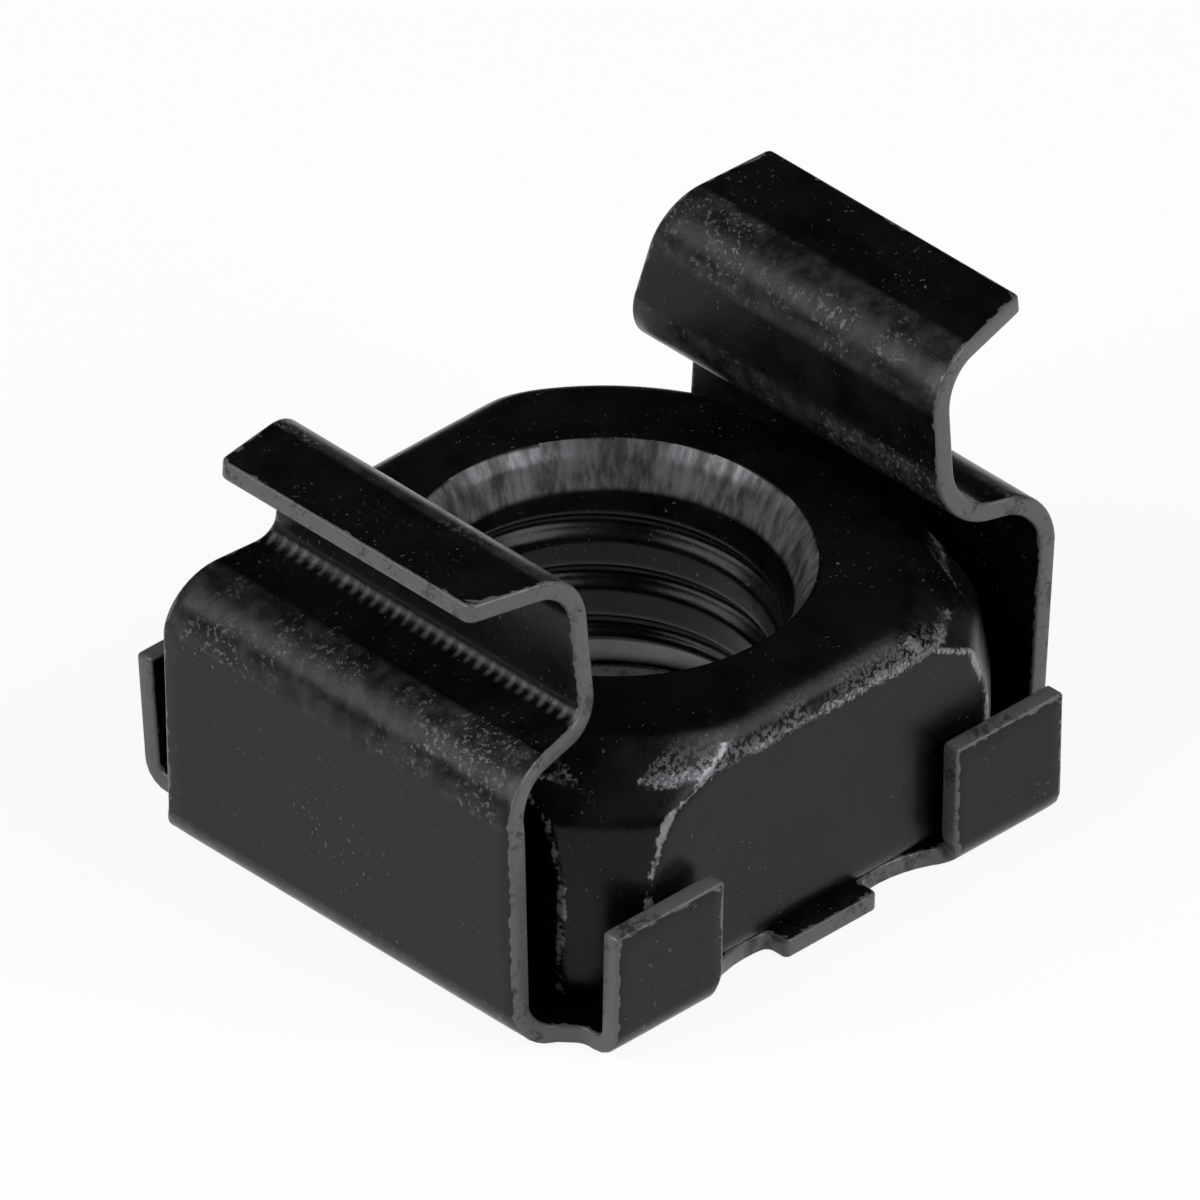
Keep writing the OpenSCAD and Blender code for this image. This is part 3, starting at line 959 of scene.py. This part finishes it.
def make_floor():
    """A white table that stays white in view and still takes the part's shadow."""
    floor = mesh_object("floor", [
        (-FLOOR_REACH, -FLOOR_REACH, 0), (FLOOR_REACH, -FLOOR_REACH, 0),
        (FLOOR_REACH, FLOOR_REACH, 0), (-FLOOR_REACH, FLOOR_REACH, 0)], [(0, 1, 2, 3)])
    floor.location.z = (cage_low[2] - FLOOR_GAP) * MM
    material = bpy.data.materials.new("white_table")
    material.use_nodes = True
    tree = material.node_tree
    tree.nodes.clear()
    output = tree.nodes.new("ShaderNodeOutputMaterial")
    diffuse = tree.nodes.new("ShaderNodeBsdfDiffuse")
    diffuse.inputs["Color"].default_value = (0.9, 0.9, 0.9, 1)
    glow = tree.nodes.new("ShaderNodeEmission")
    glow.inputs["Color"].default_value = (1, 1, 1, 1)
    glow.inputs["Strength"].default_value = 1.0
    path = tree.nodes.new("ShaderNodeLightPath")
    either = tree.nodes.new("ShaderNodeMath")
    either.operation = "MAXIMUM"
    tree.links.new(path.outputs["Is Camera Ray"], either.inputs[0])
    tree.links.new(path.outputs["Is Glossy Ray"], either.inputs[1])
    share = tree.nodes.new("ShaderNodeMath")
    share.operation = "MULTIPLY"
    share.inputs[1].default_value = FLOOR_GLOW
    tree.links.new(either.outputs[0], share.inputs[0])
    mix = tree.nodes.new("ShaderNodeMixShader")
    tree.links.new(share.outputs[0], mix.inputs[0])
    tree.links.new(diffuse.outputs[0], mix.inputs[1])
    tree.links.new(glow.outputs[0], mix.inputs[2])
    tree.links.new(mix.outputs[0], output.inputs[0])
    floor.data.materials.append(material)


SOFTBOX_TURN = 65                            # degrees to either side of the camera
SOFTBOX_ELEVATION = 38
SOFTBOX_DISTANCE = 0.3                       # metres, as is the side
SOFTBOX_SIDE = 0.22
SOFTBOX_POWER = 0.75
ROOM_GREY = 0.03


def softbox(name, azimuth):
    """A square area lamp that faces the part from a bearing."""
    a, e = math.radians(azimuth), math.radians(SOFTBOX_ELEVATION)
    back = Vector((math.sin(a) * math.cos(e), -math.cos(a) * math.cos(e), math.sin(e)))
    data = bpy.data.lights.new(name, "AREA")
    data.shape = "RECTANGLE"
    data.size = SOFTBOX_SIDE
    data.size_y = SOFTBOX_SIDE
    data.energy = SOFTBOX_POWER
    lamp = bpy.data.objects.new(name, data)
    bpy.context.scene.collection.objects.link(lamp)
    lamp.location = back * SOFTBOX_DISTANCE
    lamp.rotation_mode = "QUATERNION"
    lamp.rotation_quaternion = back.to_track_quat("Z", "Y")


def make_lights():
    """Two softboxes in a dim room that looks white behind the part."""
    softbox("left_softbox", CAMERA_AZIMUTH - SOFTBOX_TURN)
    softbox("right_softbox", CAMERA_AZIMUTH + SOFTBOX_TURN)
    world = bpy.data.worlds.new("studio")
    world.use_nodes = True
    bpy.context.scene.world = world
    tree = world.node_tree
    back = tree.nodes["Background"]
    path = tree.nodes.new("ShaderNodeLightPath")
    mix = tree.nodes.new("ShaderNodeMix")
    mix.data_type = "RGBA"
    mix.inputs["A"].default_value = (ROOM_GREY, ROOM_GREY, ROOM_GREY, 1)
    mix.inputs["B"].default_value = (1, 1, 1, 1)
    tree.links.new(path.outputs["Is Camera Ray"], mix.inputs["Factor"])
    tree.links.new(mix.outputs["Result"], back.inputs["Color"])


make_camera()
make_floor()
make_lights()
bpy.context.scene.view_settings.view_transform = "Standard"
